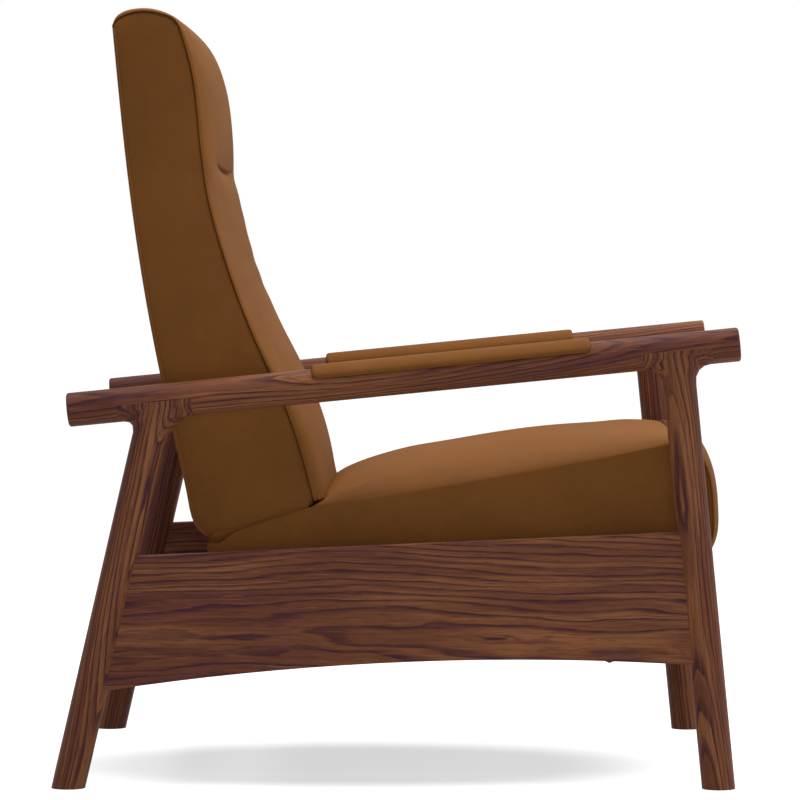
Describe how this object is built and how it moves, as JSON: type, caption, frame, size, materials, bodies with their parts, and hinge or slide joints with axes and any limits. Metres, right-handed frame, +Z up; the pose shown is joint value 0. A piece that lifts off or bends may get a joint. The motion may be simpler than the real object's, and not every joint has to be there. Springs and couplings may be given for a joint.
{
  "type": "recliner",
  "caption": "High-back push-back recliner: turned walnut legs and arm rails with arched side boards, leather seat, back and fold-out footrest on steel linkages.",
  "frame": {"origin": "on the floor, under the middle of the chair's overall length and width", "axes": "+X towards the front of the chair, +Y towards the sitter's left, +Z up; the middle plane is Y = 0"},
  "size_m": [0.8901, 0.7398, 1.024],
  "materials": {
    "walnut": "oiled walnut with long darker streaks",
    "inner_wood": "plain sawn hardwood and plywood, hidden inside the upholstery",
    "leather": "soft caramel brown leather, low sheen, over foam",
    "dark_steel": "satin black enamelled strip steel",
    "webbing": "woven seat webbing"
  },
  "bodies": {
    "frame": {"front_leg_right": "walnut", "front_leg_left": "walnut", "rear_leg_right": "walnut", "rear_leg_left": "walnut", "arm_rail_right": "walnut", "arm_rail_left": "walnut", "arm_pad_right": "leather", "arm_pad_left": "leather", "side_panel_right": "walnut", "side_panel_left": "walnut", "mechanism_cleat_right": "inner_wood", "mechanism_cleat_left": "inner_wood", "base_plate_right": "dark_steel", "base_plate_left": "dark_steel", "front_stretcher": "walnut", "rear_stretcher": "walnut", "cross_rod": "dark_steel"},
    "front_swing": {"front_swing_link_right": "dark_steel", "front_swing_link_left": "dark_steel"},
    "rear_swing": {"rear_swing_link_right": "dark_steel", "rear_swing_link_left": "dark_steel"},
    "recline_link": {"recline_link_right": "dark_steel", "recline_link_left": "dark_steel"},
    "seat": {"seat_cushion": "leather", "seat_side_right": "leather", "seat_side_left": "leather", "seat_side_rail_right": "inner_wood", "seat_side_rail_left": "inner_wood", "seat_plate_right": "dark_steel", "seat_plate_left": "dark_steel", "seat_inner_plate_right": "dark_steel", "seat_inner_plate_left": "dark_steel", "seat_front_rail": "inner_wood", "seat_rear_rail": "inner_wood", "seat_deck": "webbing"},
    "back": {"back_cushion": "leather", "back_side_right": "leather", "back_side_left": "leather", "back_post_right": "inner_wood", "back_post_left": "inner_wood", "back_bracket_right": "dark_steel", "back_bracket_left": "dark_steel", "back_panel": "leather", "back_top_rail": "inner_wood", "back_lower_rail": "inner_wood"},
    "footrest_link_1": {"footrest_link_1_right": "dark_steel", "footrest_link_1_left": "dark_steel"},
    "footrest_link_2": {"footrest_link_2_right": "dark_steel", "footrest_link_2_left": "dark_steel"},
    "footrest_link_3": {"footrest_link_3_right": "dark_steel", "footrest_link_3_left": "dark_steel"},
    "footrest_link_4": {"footrest_link_4_right": "dark_steel", "footrest_link_4_left": "dark_steel"},
    "footrest_control_link": {"footrest_control_link_right": "dark_steel", "footrest_control_link_left": "dark_steel"},
    "footrest": {"footrest_pad": "leather", "footrest_board": "inner_wood", "footrest_bracket_right": "dark_steel", "footrest_bracket_left": "dark_steel"}
  },
  "joints": [
    {"name": "back_recline", "type": "hinge", "parent": "seat", "child": "back", "pos_m": [-0.222, 0, 0.358], "axis": [0, -1, 0], "range_deg": [0, 22]},
    {"name": "front_swing_hinge", "type": "hinge", "parent": "frame", "child": "front_swing", "pos_m": [0.18058, 0, 0.19422], "axis": [0, -1, 0], "range_deg": [-39.44, 0]},
    {"name": "seat_glide", "type": "hinge", "parent": "front_swing", "child": "seat", "pos_m": [0.15, 0, 0.262], "axis": [0, -1, 0], "range_deg": [0, 46.44]},
    {"name": "rear_swing_hinge", "type": "hinge", "parent": "frame", "child": "rear_swing", "pos_m": [-0.13013, 0, 0.18701], "axis": [0, -1, 0], "range_deg": [-58.35, 0]},
    {"name": "recline_link_hinge", "type": "hinge", "parent": "frame", "child": "recline_link", "pos_m": [-0.16959, 0, 0.17691], "axis": [0, -1, 0], "range_deg": [-57.82, 0]},
    {"name": "footrest_extend", "type": "hinge", "parent": "seat", "child": "footrest_link_1", "pos_m": [0.28, 0, 0.34], "axis": [0, -1, 0], "range_deg": [0, 60]},
    {"name": "footrest_link_2_hinge", "type": "hinge", "parent": "footrest_link_1", "child": "footrest_link_2", "pos_m": [0.29767, 0, 0.25686], "axis": [0, -1, 0], "range_deg": [-120.01, 0]},
    {"name": "footrest_link_3_hinge", "type": "hinge", "parent": "footrest_link_1", "child": "footrest_link_3", "pos_m": [0.31534, 0, 0.17372], "axis": [0, -1, 0], "range_deg": [-120.01, 0]},
    {"name": "footrest_link_4_hinge", "type": "hinge", "parent": "footrest_link_2", "child": "footrest_link_4", "pos_m": [0.31534, 0, 0.34], "axis": [0, -1, 0], "range_deg": [0, 120.01]},
    {"name": "footrest_hinge", "type": "hinge", "parent": "footrest_link_3", "child": "footrest", "pos_m": [0.35069, 0, 0.34], "axis": [0, -1, 0], "range_deg": [0, 142.01]},
    {"name": "footrest_control_hinge", "type": "hinge", "parent": "footrest_link_4", "child": "footrest_control_link", "pos_m": [0.34237, 0, 0.21284], "axis": [0, -1, 0], "range_deg": [-112.13, 0]}
  ],
  "couplings": [
    {"joint": "front_swing_hinge", "follows": "back_recline", "ratio": -1.792},
    {"joint": "seat_glide", "follows": "back_recline", "ratio": 2.1102},
    {"joint": "rear_swing_hinge", "follows": "back_recline", "ratio": -2.6517},
    {"joint": "recline_link_hinge", "follows": "back_recline", "ratio": -2.6277},
    {"joint": "footrest_link_2_hinge", "follows": "footrest_extend", "ratio": -2},
    {"joint": "footrest_link_3_hinge", "follows": "footrest_extend", "ratio": -2},
    {"joint": "footrest_link_4_hinge", "follows": "footrest_extend", "ratio": 2},
    {"joint": "footrest_hinge", "follows": "footrest_extend", "ratio": 2.3667},
    {"joint": "footrest_control_hinge", "follows": "footrest_extend", "ratio": -1.8685}
  ]
}
